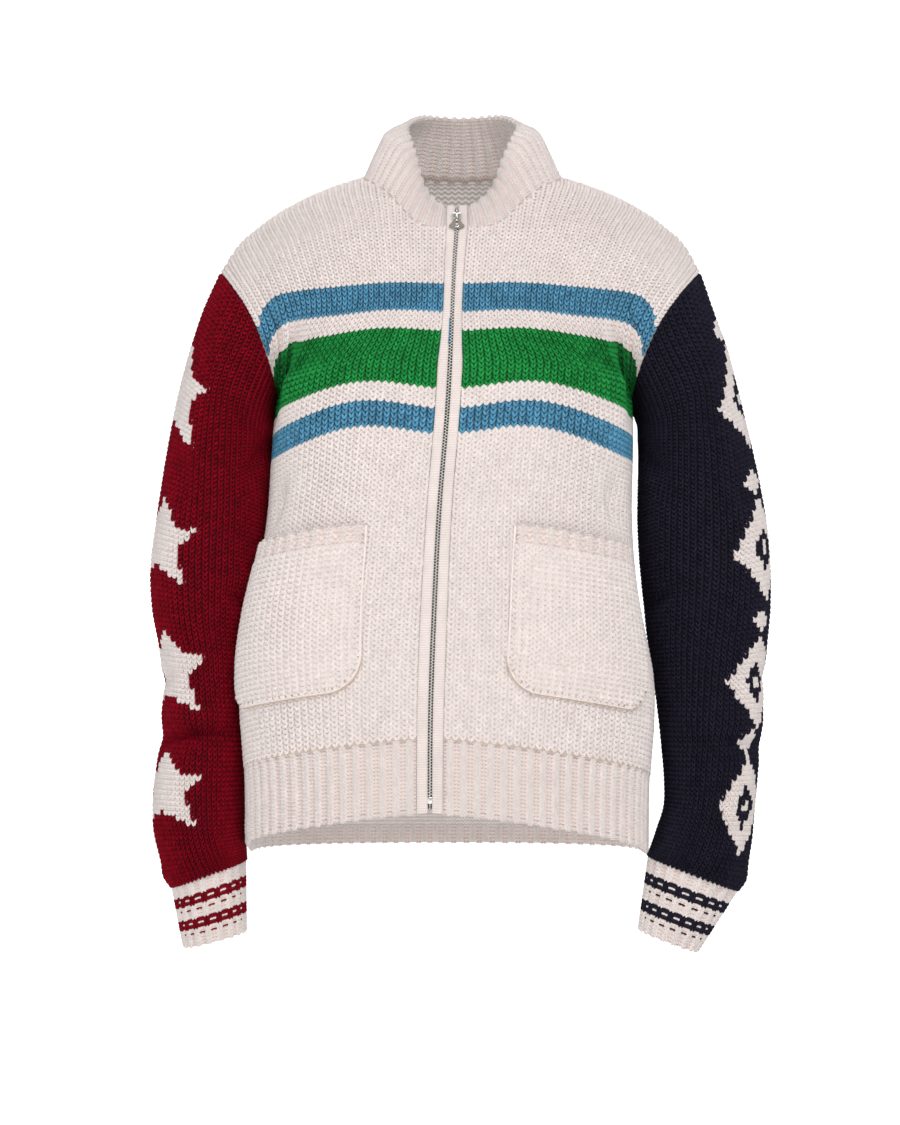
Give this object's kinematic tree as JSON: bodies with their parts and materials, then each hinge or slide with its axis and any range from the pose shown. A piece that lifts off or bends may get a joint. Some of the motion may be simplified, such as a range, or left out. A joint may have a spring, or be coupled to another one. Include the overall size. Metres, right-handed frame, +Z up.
{
  "type": "zip cardigan",
  "caption": "Chunky hand-knit zip cardigan in worn shape, open and hollow, with ribbed stand collar, cuffs and hem, patch pockets, contrast sleeves and a swinging zip pull.",
  "frame": {"origin": "in the neck at the height where the shoulders hold the garment up", "axes": "+Z up, the front faces -Y, +X towards the wearer's left"},
  "size_m": [0.6057, 0.2745, 0.8209],
  "materials": {
    "cream_wool": "matte chunky wool knit",
    "burgundy_wool": "matte chunky wool knit",
    "navy_wool": "matte chunky wool knit",
    "zip_tape": "woven tape",
    "zip_metal": "polished nickel"
  },
  "bodies": {
    "cardigan": {"front_right": "cream_wool", "front_left": "cream_wool", "back": "cream_wool", "sleeve_right": "burgundy_wool", "sleeve_left": "navy_wool", "cuff_right": "cream_wool", "cuff_left": "cream_wool", "hem_band": "cream_wool", "collar": "cream_wool", "pocket_right": "cream_wool", "pocket_left": "cream_wool", "zip_band_right": "cream_wool", "zip_band_left": "cream_wool", "zip_tape_right": "zip_tape", "zip_tape_left": "zip_tape", "zip_chain": "zip_metal", "zip_stop": "zip_metal", "zip_slider": "zip_metal"},
    "zip_pull": {"zip_pull": "zip_metal"}
  },
  "joints": [
    {"name": "pull_hinge", "type": "hinge", "parent": "cardigan", "child": "zip_pull", "pos_m": [0.00142, -0.10254, -0.02201], "axis": [-1, 0, 0], "range_deg": [0, 120]}
  ]
}
